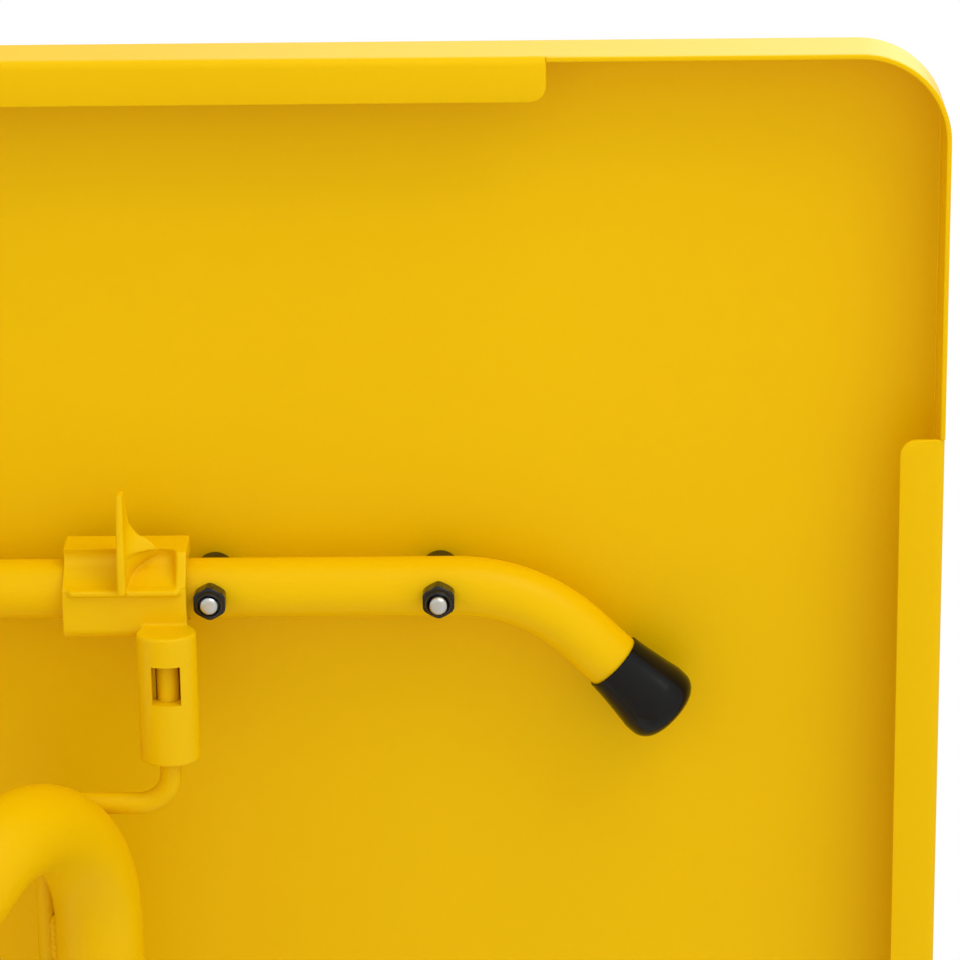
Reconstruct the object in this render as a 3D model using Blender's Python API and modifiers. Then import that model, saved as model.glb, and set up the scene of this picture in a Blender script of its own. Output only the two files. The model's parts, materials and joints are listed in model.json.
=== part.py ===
"""Folding steel table: a pan-shaped top on two crossed tube leg frames.

The wide frame turns in two hinge brackets under the top. The narrow frame is pinned to it
where they cross, and two plastic clips on its rods snap over the two support bars.
Metres, +Z up, origin on the floor under the middle of the top. X runs across the hinge line.
"""
import math

import bmesh
import bpy
from mathutils import Matrix, Vector

# ---- driving dimensions ------------------------------------------------------------------
GAP = 0.0003                # clearance left between pieces that touch

TABLE_HEIGHT = 0.740
TOP_LENGTH = 0.710          # along X
TOP_WIDTH = 0.710           # along Y
TOP_CORNER_RADIUS = 0.028
RIM_DEPTH = 0.024
SHEET = 0.0015
LIP_WIDTH = 0.0140
LIP_END_SETBACK = 0.124     # from the outside of the next side to the end of a lip
LIP_CORNER_RADIUS = 0.005

BAR_DIAMETER = 0.019        # support bars
BAR_OUTSIDE_CORNER = 0.0314  # from the narrow frame's corner to a bar's axis, along Y
BAR_BEND_SETBACK = 0.154    # from the top's end to the start of a bend
BAR_BEND_RADIUS = 0.057
BAR_BEND_DEG = 44.5
BAR_TAIL = 0.034            # straight end after the bend
SPACER_HEIGHT = 0.007
SPACER_DIAMETER = 0.0125
STUD_DIAMETER = 0.006
STUD_HOLE_CLEARANCE = 0.0003
OUTER_STUD_SETBACK = 0.1592  # from the top's end
INNER_STUD_AHEAD = 0.0135   # from a locking rod's axis, along X
STUD_TIPS = (0.0025, 0.0010)      # how far the outer and inner studs stand out of their nuts
NUT_ACROSS_FLATS = 0.010
NUT_HEIGHT = 0.0055
NUT_COLLAR_HEIGHT = 0.0015
NUT_COLLAR_DIAMETER = 0.0088

CAP_LENGTH = 0.026
CAP_GRIP = 0.020            # how far a bar reaches into its cap
CAP_MOUTH_WALL = 0.0009
CAP_END_WALL = 0.0026
CAP_SWELL_LENGTH = 0.018    # from the mouth to the full diameter
CAP_END_ROUND = 0.004

LEG_DIAMETER = 0.028
LEG_HEADROOM = 0.0295       # from the sheet down to a top bar
NARROW_CORNER_Y = 0.150     # where the axes of the top bar and the leg would meet
NARROW_WAIST_Y = 0.068
NARROW_FOOT_Y = 0.215
FRAME_CLEARANCE = 0.005     # between the wide frame and the narrow one inside it
FRAME_HALF_SPREAD = 0.0856  # from the middle of the table to a top bar
LEG_LEAN = 0.5              # run along X for each unit of drop
CORNER_BEND_RADIUS = 0.0467
WAIST_BEND_RADIUS = 0.090
FOOT_DOME_WALL = 0.003      # rubber round the tube's end
FOOT_MOUTH_WALL = 0.0012
FOOT_CAP_LENGTH = 0.034
FOOT_FLOOR = 0.003          # rubber between the tube's end and the dome's centre

PIVOT_DIAMETER = 0.008
PIVOT_CLEARANCE = 0.0003
PIVOT_SEAT_GAP = 0.0009     # the bent tubes are not flat where the bolt's parts seat
PIVOT_HEAD_DIAMETER = 0.015
PIVOT_HEAD_HEIGHT = 0.004
PIVOT_NUT_ACROSS_FLATS = 0.013
PIVOT_NUT_HEIGHT = 0.008
PIVOT_TIP = 0.003           # how far the bolt stands out of its nut
PIVOT_WASHER_DIAMETER = 0.0125

BRACKET_Y = 0.080
BRACKET_LENGTH = 0.030
BRACKET_SHEET = 0.0025
BRACKET_SHELF_BESIDE = 0.017  # how far the shelf reaches past each side of the tube
BRACKET_FOOT = 0.014
STRAP_SHEET = 0.0025
STRAP_SETBACK = 0.003       # from the bracket's edge to the strap's edge
STRAP_SCREW_ROOM = 0.0095   # from the tube's side to a screw's axis
SCREW_DIAMETER = 0.005
SCREW_HEAD_DIAMETER = 0.0095
SCREW_HEAD_HEIGHT = 0.003
SCREW_TIP = 0.004           # how far a screw stands above the bracket's shelf

# Places along Y on the locking rods and clips count from the support bar's axis towards the
# middle of the table; a negative one is outside the bar.
ROD_DIAMETER = 0.007
ROD_BELOW_BAR = 0.011       # from a support bar's lower side down to a rod's axis
ROD_OUTSIDE_FRAME = 0.0244  # from a top bar's axis to the arm that the clip turns on, along X
ROD_RUN_Y = 0.0656          # the run behind the leg
ROD_TIP_Y = 0.0135          # the rod's free end
ROD_END_Y = 0.1200          # the rod's welded end
ROD_BEND_RADIUS = 0.0105
ROD_WELD_GAP = 0.0008       # the weld bead's room beside the top bar
SLEEVE_DIAMETER = 0.019
SLEEVE_START_Y = 0.0070
SLEEVE_END_Y = 0.0503
SLEEVE_BORE_CLEARANCE = 0.0003
WINDOW_WIDTH = 0.0092
WINDOW_START_Y = 0.0165
WINDOW_END_Y = 0.0295
CLIP_SADDLE_CLEARANCE = 0.0004
CLIP_OUTER_WALL = 0.0060    # shell thickness outside the bar
CLIP_INNER_WALL = 0.0025    # shell thickness on the rod's side
CLIP_ROOF_WALL = 0.0055     # shell thickness under the bar
CLIP_CHAMFER = 0.004
CLIP_SCOOP_FLATTENING = 0.86
CLIP_BEHIND_ROD = 0.0330
CLIP_AHEAD_OF_ROD = 0.0063
CLIP_WALL_DROP = 0.010      # from the sheet to the walls' free edges
CLIP_RIB_HEIGHT = 0.002
CLIP_RIB_START_Y = -0.0050
CLIP_RIB_END_Y = -0.0033
FIN_THICKNESS = 0.0025
FIN_BEHIND_ROD = 0.0137
FIN_TIP_Y = -0.0370
FIN_TIP_WIDTH = 0.006
FIN_ROOT_HEIGHT = 0.0045    # above the roof, beside the rib
FIN_TIP_RISE = 0.0015       # from the roof's level back towards the sheet

# ---- levels and places worked out from them --------------------------------------------------
SHEET_UNDERSIDE = TABLE_HEIGHT - SHEET
LIP_Z = TABLE_HEIGHT - RIM_DEPTH
HALF_LENGTH = TOP_LENGTH / 2
HALF_WIDTH = TOP_WIDTH / 2
BAR_RADIUS = BAR_DIAMETER / 2
BAR_Y = NARROW_CORNER_Y + BAR_OUTSIDE_CORNER
BAR_DROP = SPACER_HEIGHT + BAR_RADIUS       # from the underside of the sheet to a bar's axis
BAR_Z = SHEET_UNDERSIDE - BAR_DROP
LEG_RADIUS = LEG_DIAMETER / 2
HINGE_Z = SHEET_UNDERSIDE - LEG_HEADROOM - LEG_RADIUS
WAIST_Z = HINGE_Z - FRAME_HALF_SPREAD / LEG_LEAN
FOOT_DOME_RADIUS = LEG_RADIUS + FOOT_DOME_WALL
ROD_RADIUS = ROD_DIAMETER / 2
ROD_X = FRAME_HALF_SPREAD + ROD_OUTSIDE_FRAME
ROD_Z = BAR_Z - BAR_RADIUS - ROD_BELOW_BAR
CLIP_ROOF_DROP = BAR_DROP + BAR_RADIUS + CLIP_ROOF_WALL
TUBE_SIDES = 6              # bevel resolution of the tubes
CUT_MARGIN = 0.002          # how far a cutter runs past what it cuts

YELLOW = (0.87, 0.50, 0.004, 1.0)
BLACK = (0.012, 0.012, 0.013, 1.0)
STEEL = (0.55, 0.55, 0.54, 1.0)


def clear_scene():
    for old in list(bpy.data.objects):
        bpy.data.objects.remove(old, do_unlink=True)


def new_collection(name):
    collection = bpy.data.collections.new(name)
    bpy.context.scene.collection.children.link(collection)
    return collection


clear_scene()
PARTS = new_collection("folding_table")
CUTTERS = new_collection("cutters")


def material(name, colour, roughness, metallic=0.0):
    made = bpy.data.materials.new(name)
    made.use_nodes = True
    shader = made.node_tree.nodes["Principled BSDF"]
    shader.inputs["Base Color"].default_value = colour
    shader.inputs["Roughness"].default_value = roughness
    shader.inputs["Metallic"].default_value = metallic
    return made


# ---- small modelling helpers ------------------------------------------------------------------
def object_from_bmesh(name, mesh_builder):
    mesh = bpy.data.meshes.new(name)
    mesh_builder.normal_update()
    mesh_builder.to_mesh(mesh)
    mesh_builder.free()
    made = bpy.data.objects.new(name, mesh)
    PARTS.objects.link(made)
    return made


def finish(made, finish_material, smooth_deg=35):
    made.data.materials.clear()
    made.data.materials.append(finish_material)
    made.data.shade_smooth()
    made.data.set_sharp_from_angle(angle=math.radians(smooth_deg))
    return made


def hide_cutter(cutter):
    for holder in list(cutter.users_collection):
        holder.objects.unlink(cutter)
    CUTTERS.objects.link(cutter)
    cutter.hide_render = True
    cutter.display_type = "WIRE"
    return cutter


def cut(target, cutter, operation="DIFFERENCE"):
    hide_cutter(cutter)
    modifier = target.modifiers.new(operation.title(), "BOOLEAN")
    modifier.object = cutter
    modifier.operation = operation
    modifier.solver = "EXACT"
    return target


def box(name, low, high):
    low, high = Vector(low), Vector(high)
    builder = bmesh.new()
    bmesh.ops.create_cube(builder, size=1.0)
    bmesh.ops.scale(builder, vec=high - low, verts=builder.verts)
    bmesh.ops.translate(builder, vec=(low + high) / 2, verts=builder.verts)
    return object_from_bmesh(name, builder)


def cylinder(name, start, end, radius, sides=32, radius_end=None):
    """A closed round bar or cone from one point to another."""
    start, end = Vector(start), Vector(end)
    builder = bmesh.new()
    bmesh.ops.create_cone(builder, cap_ends=True, segments=sides, radius1=radius,
                          radius2=radius if radius_end is None else radius_end,
                          depth=(end - start).length)
    turn = Vector((0, 0, 1)).rotation_difference(end - start).to_matrix().to_4x4()
    bmesh.ops.transform(builder, matrix=Matrix.Translation((start + end) / 2) @ turn,
                        verts=builder.verts)
    return object_from_bmesh(name, builder)


def prism(name, outline, low, high, axis="Z"):
    """A flat outline (a list of 2-D points) extruded from low to high along an axis."""
    builder = bmesh.new()
    order = {"Z": lambda u, v, w: (u, v, w), "X": lambda u, v, w: (w, u, v),
             "Y": lambda u, v, w: (v, w, u)}[axis]
    verts = [builder.verts.new(order(u, v, low)) for u, v in outline]
    face = builder.faces.new(verts)
    side = bmesh.ops.extrude_face_region(builder, geom=[face])
    moved = [item for item in side["geom"] if isinstance(item, bmesh.types.BMVert)]
    shift = Vector(order(0, 0, high - low))
    bmesh.ops.translate(builder, verts=moved, vec=shift)
    bmesh.ops.recalc_face_normals(builder, faces=builder.faces)
    return object_from_bmesh(name, builder)


def turned(name, profile, base, direction, sides=32):
    """A turned piece: (radius, height) profile from its outside top down, closed on the axis."""
    mesh = bpy.data.meshes.new(name)
    edges = [(i, i + 1) for i in range(len(profile) - 1)]
    mesh.from_pydata([(radius, 0, height) for radius, height in profile], edges, [])
    made = bpy.data.objects.new(name, mesh)
    PARTS.objects.link(made)
    screw = made.modifiers.new("Turned", "SCREW")
    screw.steps = screw.render_steps = sides
    screw.use_merge_vertices = True
    screw.merge_threshold = 0.00002
    screw.use_normal_calculate = True
    turn = Vector((0, 0, 1)).rotation_difference(Vector(direction)).to_matrix().to_4x4()
    made.matrix_world = Matrix.Translation(Vector(base)) @ turn
    return made


def arc(centre, radius, start_deg, end_deg, steps):
    """2-D points along an arc, both ends included."""
    points = []
    for i in range(steps + 1):
        angle = math.radians(start_deg + (end_deg - start_deg) * i / steps)
        points.append((centre[0] + radius * math.cos(angle), centre[1] + radius * math.sin(angle)))
    return points


def rounded_rectangle(length, width, radius, steps=8):
    half_x, half_y = length / 2 - radius, width / 2 - radius
    points = []
    for quarter, (sign_x, sign_y) in enumerate(((1, 1), (-1, 1), (-1, -1), (1, -1))):
        centre = (sign_x * half_x, sign_y * half_y)
        points += arc(centre, radius, 90 * quarter, 90 * quarter + 90, steps)
    return points


def bent_path(corners, radii, step_deg=7.5):
    """The route of a bent tube: straight runs joined by arcs of the given radii."""
    corners = [Vector(corner) for corner in corners]
    path = [corners[0]]
    for before, corner, after, radius in zip(corners, corners[1:], corners[2:], radii):
        back, ahead = (before - corner).normalized(), (after - corner).normalized()
        opening = back.angle(ahead)
        reach = radius / math.tan(opening / 2)
        centre = corner + (back + ahead).normalized() * radius / math.sin(opening / 2)
        first = corner + back * reach - centre
        sweep = math.pi - opening
        turn_axis = first.cross(corner + ahead * reach - centre).normalized()
        steps = max(3, round(math.degrees(sweep) / step_deg))
        for i in range(steps + 1):
            path.append(centre + Matrix.Rotation(sweep * i / steps, 3, turn_axis) @ first)
    return path + [corners[-1]]


def tube(name, path, radius, resolution=TUBE_SIDES):
    """A round bar along a path, made as a curve and turned into a welded mesh."""
    data = bpy.data.curves.new(name, "CURVE")
    data.dimensions = "3D"
    data.bevel_depth = radius
    data.bevel_resolution = resolution
    data.use_fill_caps = True
    spline = data.splines.new("POLY")
    spline.points.add(len(path) - 1)
    for point, place in zip(spline.points, path):
        point.co = (*place, 1.0)
    guide = bpy.data.objects.new(name + "_guide", data)
    PARTS.objects.link(guide)
    bpy.context.view_layer.update()
    evaluated = guide.evaluated_get(bpy.context.evaluated_depsgraph_get())
    mesh = bpy.data.meshes.new_from_object(evaluated)
    builder = bmesh.new()
    builder.from_mesh(mesh)
    bmesh.ops.remove_doubles(builder, verts=builder.verts, dist=0.00001)
    bmesh.ops.recalc_face_normals(builder, faces=builder.faces)
    builder.to_mesh(mesh)
    builder.free()
    made = bpy.data.objects.new(name, mesh)
    made.matrix_world = guide.matrix_world
    PARTS.objects.link(made)
    bpy.data.objects.remove(guide, do_unlink=True)
    return made


def side_name(sign, negative="front", positive="back"):
    return negative if sign < 0 else positive


POWDER_COAT = material("yellow_powder_coat", YELLOW, 0.38)
CLIP_PLASTIC = material("yellow_clip_plastic", YELLOW, 0.42)
RUBBER = material("black_rubber", BLACK, 0.35)
BLACK_STEEL = material("black_oxide_steel", BLACK, 0.45, 0.6)
ZINC = material("zinc_plated_steel", STEEL, 0.35, 1.0)


# ---- the top ----------------------------------------------------------------------------------
def make_top():
    """A tray of folded sheet with rounded corners, open below, with a lip along each side."""
    outer = rounded_rectangle(TOP_LENGTH, TOP_WIDTH, TOP_CORNER_RADIUS)
    inner = rounded_rectangle(TOP_LENGTH - 2 * SHEET, TOP_WIDTH - 2 * SHEET,
                              TOP_CORNER_RADIUS - SHEET)
    top = prism("table_top", outer, LIP_Z, TABLE_HEIGHT)
    cut(top, prism("top_hollow", inner, LIP_Z - CUT_MARGIN, SHEET_UNDERSIDE))
    for across_x in (True, False):
        half_side, half_other = (HALF_WIDTH, HALF_LENGTH) if across_x else (HALF_LENGTH, HALF_WIDTH)
        reach = half_other - LIP_END_SETBACK
        for sign in (-1, 1):
            inner_edge = half_side - LIP_WIDTH
            outline = [(reach, half_side - SHEET / 2), (-reach, half_side - SHEET / 2)]
            outline += arc((-reach + LIP_CORNER_RADIUS, inner_edge + LIP_CORNER_RADIUS),
                           LIP_CORNER_RADIUS, 180, 270, 4)
            outline += arc((reach - LIP_CORNER_RADIUS, inner_edge + LIP_CORNER_RADIUS),
                           LIP_CORNER_RADIUS, 270, 360, 4)
            if across_x:
                outline = [(u, sign * v) for u, v in outline]
            else:
                outline = [(sign * v, u) for u, v in outline]
            lip = prism("lip_cutter", outline, LIP_Z, LIP_Z + SHEET)
            cut(top, lip, "UNION")
    return finish(top, POWDER_COAT)


def bar_route(side):
    """The axis of a support bar, whose ends bend towards the middle of the table."""
    bend = math.radians(BAR_BEND_DEG)
    reach = BAR_BEND_RADIUS * math.tan(bend / 2)
    corner_x = HALF_LENGTH - BAR_BEND_SETBACK + reach
    tail = reach + BAR_TAIL
    end_x = corner_x + tail * math.cos(bend)
    end_y = side * (BAR_Y - tail * math.sin(bend))
    corners = [(-end_x, end_y, BAR_Z), (-corner_x, side * BAR_Y, BAR_Z),
               (corner_x, side * BAR_Y, BAR_Z), (end_x, end_y, BAR_Z)]
    return bent_path(corners, (BAR_BEND_RADIUS, BAR_BEND_RADIUS))


def stud_places():
    """Each stud's label, x, y and how far its tip stands out of the nut."""
    for side in (-1, 1):
        for end in (-1, 1):
            distances = (HALF_LENGTH - OUTER_STUD_SETBACK, ROD_X + INNER_STUD_AHEAD)
            for place, distance, tip in zip(("outer", "inner"), distances, STUD_TIPS):
                label = "%s_%s_%s" % (side_name(side), side_name(end, "left", "right"), place)
                yield label, end * distance, side * BAR_Y, tip


def make_support_bars():
    hole_radius = STUD_DIAMETER / 2 + STUD_HOLE_CLEARANCE
    for side in (-1, 1):
        bar = tube("support_bar_" + side_name(side), bar_route(side), BAR_RADIUS)
        for _, x, y, _ in stud_places():
            if y * side > 0:
                drill = cylinder("stud_drill", (x, y, BAR_Z - BAR_RADIUS - CUT_MARGIN),
                                 (x, y, BAR_Z + BAR_RADIUS + CUT_MARGIN), hole_radius, 24)
                cut(bar, drill)
        finish(bar, POWDER_COAT)
        make_bar_caps(side)


def make_bar_caps(side):
    """Rubber caps pushed over the bars' ends: a thin mouth that swells to a rounded end."""
    route = bar_route(side)
    bore = BAR_RADIUS + GAP
    mouth = bore + CAP_MOUTH_WALL
    end_radius = BAR_RADIUS + CAP_END_WALL
    profile = [(bore, 0), (mouth, 0)]
    profile += [(mouth + (end_radius - mouth) * t ** 1.3, CAP_SWELL_LENGTH * t)
                for t in (0.25, 0.5, 0.75, 1.0)]
    profile += arc((end_radius - CAP_END_ROUND, CAP_LENGTH - CAP_END_ROUND), CAP_END_ROUND,
                   0, 90, 4)
    profile += [(0, CAP_LENGTH), (0, CAP_GRIP + GAP), (bore, CAP_GRIP + GAP), (bore, 0)]
    for end, tip, inner in ((-1, route[0], route[1]), (1, route[-1], route[-2])):
        direction = (tip - inner).normalized()
        name = "bar_cap_%s_%s" % (side_name(side), side_name(end, "left", "right"))
        cap = turned(name, list(reversed(profile)), tip - direction * CAP_GRIP, direction, 28)
        finish(cap, RUBBER)


def ring(name, start, end, outer, inner, sides=28):
    """A plain tube or washer between two points."""
    length = (Vector(end) - Vector(start)).length
    profile = [(outer, length), (outer, 0), (inner, 0), (inner, length), (outer, length)]
    return turned(name, profile, start, Vector(end) - Vector(start), sides)


def hexagon_nut(name, base, direction, across_flats, height, collar_height, collar_radius):
    """A nut with a round locking collar, from its seat outwards."""
    base, direction = Vector(base), Vector(direction)
    corner_radius = across_flats / 2 / math.cos(math.pi / 6)
    body = cylinder(name, base, base + direction * height, corner_radius, 6)
    if collar_height:
        overlap = direction * height / 2
        collar = cylinder(name + "_collar", base + overlap,
                          base + direction * (height + collar_height), collar_radius, 24)
        cut(body, collar, "UNION")
    return body


def make_bar_fasteners():
    """Threaded studs under the sheet, round spacers, and a lock nut below each bar."""
    hole_radius = STUD_DIAMETER / 2 + STUD_HOLE_CLEARANCE
    seat_z = BAR_Z - BAR_RADIUS - GAP
    nut_end = seat_z - NUT_HEIGHT - NUT_COLLAR_HEIGHT
    for label, x, y, tip in stud_places():
        spacer = ring("bar_spacer_" + label, (x, y, SHEET_UNDERSIDE - GAP),
                      (x, y, SHEET_UNDERSIDE - SPACER_HEIGHT + GAP),
                      SPACER_DIAMETER / 2, hole_radius)
        finish(spacer, BLACK_STEEL)
        stud = cylinder("bar_stud_" + label, (x, y, SHEET_UNDERSIDE - GAP), (x, y, nut_end - tip),
                        STUD_DIAMETER / 2, 24)
        finish(stud, ZINC)
        nut = hexagon_nut("bar_nut_" + label, (x, y, seat_z), (0, 0, -1), NUT_ACROSS_FLATS,
                          NUT_HEIGHT, NUT_COLLAR_HEIGHT, NUT_COLLAR_DIAMETER / 2)
        bore = cylinder("nut_bore", (x, y, seat_z + CUT_MARGIN), (x, y, nut_end - CUT_MARGIN),
                        hole_radius, 24)
        cut(nut, bore)
        finish(nut, BLACK_STEEL)


# ---- leg frames --------------------------------------------------------------------------------
def frame_route(end, step):
    """The axis of one leg frame from foot to foot. end is the side of X that its top bar is on."""
    foot_z = FOOT_DOME_RADIUS + FOOT_FLOOR
    foot_x = end * (FRAME_HALF_SPREAD - LEG_LEAN * (HINGE_Z - foot_z))
    slant = math.hypot(1, LEG_LEAN)
    upper = math.atan((NARROW_CORNER_Y - NARROW_WAIST_Y) / (HINGE_Z - WAIST_Z) / slant)
    lower = math.atan((NARROW_FOOT_Y - NARROW_WAIST_Y) / (WAIST_Z - foot_z) / slant)
    # The bend's corner is raised so that the tube runs straight past the pivot bolt.
    lift = WAIST_BEND_RADIUS * math.sin((upper - lower) / 2) / slant
    corners = [(foot_x, NARROW_FOOT_Y + step, foot_z),
               (end * LEG_LEAN * lift, NARROW_WAIST_Y + step, WAIST_Z + lift),
               (end * FRAME_HALF_SPREAD, NARROW_CORNER_Y + step, HINGE_Z)]
    mirrored = [(x, -y, z) for x, y, z in reversed(corners)]
    radii = (WAIST_BEND_RADIUS, CORNER_BEND_RADIUS, CORNER_BEND_RADIUS, WAIST_BEND_RADIUS)
    return bent_path(corners + mirrored, radii)


def waist_y(end, step):
    """The distance from the middle to a leg's axis where the two frames cross."""
    route = [place for place in frame_route(end, step) if place.y > 0]
    for first, second in zip(route, route[1:]):
        if (first.z - WAIST_Z) * (second.z - WAIST_Z) <= 0 and first.z != second.z:
            share = (WAIST_Z - first.z) / (second.z - first.z)
            return first.y + (second.y - first.y) * share
    return NARROW_WAIST_Y + step


# Each frame's side of X and how far it stands outside the narrow frame.
FRAMES = {"wide": (-1, LEG_DIAMETER + FRAME_CLEARANCE), "narrow": (1, 0.0)}


def make_leg_frame(kind):
    end, step = FRAMES[kind]
    frame = tube(kind + "_leg_frame", frame_route(end, step), LEG_RADIUS)
    hole_radius = PIVOT_DIAMETER / 2 + PIVOT_CLEARANCE
    middle = waist_y(end, step)
    reach = LEG_RADIUS + CUT_MARGIN
    for side in (-1, 1):
        drill = cylinder("pivot_drill", (0, side * (middle - reach), WAIST_Z),
                         (0, side * (middle + reach), WAIST_Z), hole_radius, 24)
        cut(frame, drill)
    finish(frame, POWDER_COAT)
    make_feet(kind)


def make_feet(kind):
    """Rubber feet: a sleeve round the tube's end and a dome that stands on the floor."""
    route = frame_route(*FRAMES[kind])
    bore = LEG_RADIUS + GAP
    dome = FOOT_DOME_RADIUS
    mouth = bore + FOOT_MOUTH_WALL
    profile = [(bore, FOOT_CAP_LENGTH), (mouth, FOOT_CAP_LENGTH), (dome, FOOT_CAP_LENGTH * 0.35)]
    profile += arc((0, 0), dome, 0, -90, 8)
    profile += [(0, FOOT_FLOOR - GAP), (bore, FOOT_FLOOR - GAP), (bore, FOOT_CAP_LENGTH)]
    for side, tip, inner in ((1, route[0], route[1]), (-1, route[-1], route[-2])):
        upwards = (inner - tip).normalized()
        # The dome's centre is one dome radius above the floor, on the tube's axis.
        centre = tip - upwards * (tip.z - dome) / upwards.z
        cap = turned("%s_foot_%s" % (kind, side_name(side)), profile, centre, upwards)
        finish(cap, RUBBER)


def make_pivots():
    """A shouldered bolt, a washer between the tubes and a lock nut at each crossing."""
    outer_leg = waist_y(*FRAMES["wide"])
    inner_leg = waist_y(*FRAMES["narrow"])
    outer_face = outer_leg + LEG_RADIUS + PIVOT_SEAT_GAP
    inner_face = inner_leg - LEG_RADIUS - PIVOT_SEAT_GAP
    shank = PIVOT_DIAMETER / 2
    for side in (-1, 1):
        where = side_name(side)

        def at(y):
            return (0, side * y, WAIST_Z)

        bolt = cylinder("pivot_bolt_" + where, at(outer_face + PIVOT_HEAD_HEIGHT / 2),
                        at(inner_face - PIVOT_NUT_HEIGHT - PIVOT_TIP), shank, 24)
        head = cylinder("pivot_head", at(outer_face), at(outer_face + PIVOT_HEAD_HEIGHT),
                        PIVOT_HEAD_DIAMETER / 2, 28, radius_end=PIVOT_HEAD_DIAMETER * 0.32)
        cut(bolt, head, "UNION")
        finish(bolt, ZINC)
        washer = ring("pivot_washer_" + where, at(outer_leg - LEG_RADIUS - PIVOT_SEAT_GAP),
                      at(inner_leg + LEG_RADIUS + PIVOT_SEAT_GAP), PIVOT_WASHER_DIAMETER / 2,
                      shank + PIVOT_CLEARANCE)
        finish(washer, RUBBER)
        nut = hexagon_nut("pivot_nut_" + where, at(inner_face), (0, -side, 0),
                          PIVOT_NUT_ACROSS_FLATS, PIVOT_NUT_HEIGHT, 0, 0)
        bore = cylinder("pivot_nut_bore", at(inner_face + CUT_MARGIN),
                        at(inner_face - PIVOT_NUT_HEIGHT - CUT_MARGIN), shank + PIVOT_CLEARANCE, 24)
        cut(nut, bore)
        finish(nut, BLACK_STEEL)


# ---- hinge of the wide frame --------------------------------------------------------------------
def make_hinges():
    """Pressed brackets under the sheet; a strap screwed below each one holds the bar."""
    shelf_top = HINGE_Z + LEG_RADIUS + GAP
    shelf = LEG_RADIUS + BRACKET_SHELF_BESIDE
    wall = BRACKET_SHEET
    ceiling = SHEET_UNDERSIDE - GAP
    foot = BRACKET_FOOT
    half = [(shelf + foot, ceiling), (shelf + foot, ceiling - wall), (shelf, ceiling - wall),
            (shelf, shelf_top)]
    hat = half + [(-x, z) for x, z in reversed(half)]
    inside = [(-shelf + wall, ceiling), (-shelf + wall, shelf_top + wall)]
    hat += inside + [(-x, z) for x, z in reversed(inside)]
    inner, outer = LEG_RADIUS + GAP, LEG_RADIUS + GAP + STRAP_SHEET
    ear_top = shelf_top - GAP
    screw_x = LEG_RADIUS + STRAP_SCREW_ROOM
    ear = screw_x + SCREW_HEAD_DIAMETER / 2 + 0.002
    ear_low = ear_top - STRAP_SHEET
    strap = [(ear, ear_top), (inner, ear_top)]
    strap += arc((0, HINGE_Z), inner, 0, -180, 14)
    strap += [(-inner, ear_top), (-ear, ear_top), (-ear, ear_low), (-outer, ear_low)]
    strap += arc((0, HINGE_Z), outer, 180, 360, 14)
    strap += [(outer, ear_low), (ear, ear_low)]
    hinge_x = -FRAME_HALF_SPREAD
    hole = SCREW_DIAMETER / 2 + GAP
    for side in (-1, 1):
        low_y = side * BRACKET_Y - BRACKET_LENGTH / 2
        high_y = low_y + BRACKET_LENGTH
        where = side_name(side)

        def placed(outline):
            return [(z, x + hinge_x) for x, z in outline]

        bracket = prism("hinge_bracket_" + where, placed(hat), low_y, high_y, "Y")
        band = prism("hinge_strap_" + where, placed(strap), low_y + STRAP_SETBACK,
                     high_y - STRAP_SETBACK, "Y")
        for sign in (-1, 1):
            x, y = hinge_x + sign * screw_x, side * BRACKET_Y
            for target in (bracket, band):
                drill = cylinder("screw_drill", (x, y, ear_low - CUT_MARGIN),
                                 (x, y, shelf_top + wall + CUT_MARGIN), hole, 20)
                cut(target, drill)
            name = "hinge_screw_%s_%s" % (where, side_name(sign, "left", "right"))
            screw = cylinder(name, (x, y, ear_low - SCREW_HEAD_HEIGHT / 2),
                             (x, y, shelf_top + wall + SCREW_TIP), SCREW_DIAMETER / 2, 20)
            head = cylinder("screw_head", (x, y, ear_low - GAP),
                            (x, y, ear_low - GAP - SCREW_HEAD_HEIGHT), SCREW_HEAD_DIAMETER / 2,
                            24, radius_end=SCREW_HEAD_DIAMETER * 0.3)
            cut(screw, head, "UNION")
            finish(screw, ZINC)
        finish(bracket, POWDER_COAT)
        finish(band, POWDER_COAT)


# ---- locking rods and clips ---------------------------------------------------------------------
def make_lock_rods():
    """A bent wire on each side: one arm lies along the top bar, the other carries the clip."""
    touching = LEG_RADIUS + ROD_RADIUS + ROD_WELD_GAP
    weld_x = FRAME_HALF_SPREAD - math.sqrt(touching ** 2 - (ROD_Z - HINGE_Z) ** 2)
    for side in (-1, 1):
        corners = [(ROD_X, side * (BAR_Y - ROD_TIP_Y), ROD_Z),
                   (ROD_X, side * (BAR_Y - ROD_RUN_Y), ROD_Z),
                   (weld_x, side * (BAR_Y - ROD_RUN_Y), ROD_Z),
                   (weld_x, side * (BAR_Y - ROD_END_Y), ROD_Z)]
        route = bent_path(corners, (ROD_BEND_RADIUS, ROD_BEND_RADIUS), 15)
        rod = tube("lock_rod_" + side_name(side), route, ROD_RADIUS, 4)
        finish(rod, POWDER_COAT)


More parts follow.
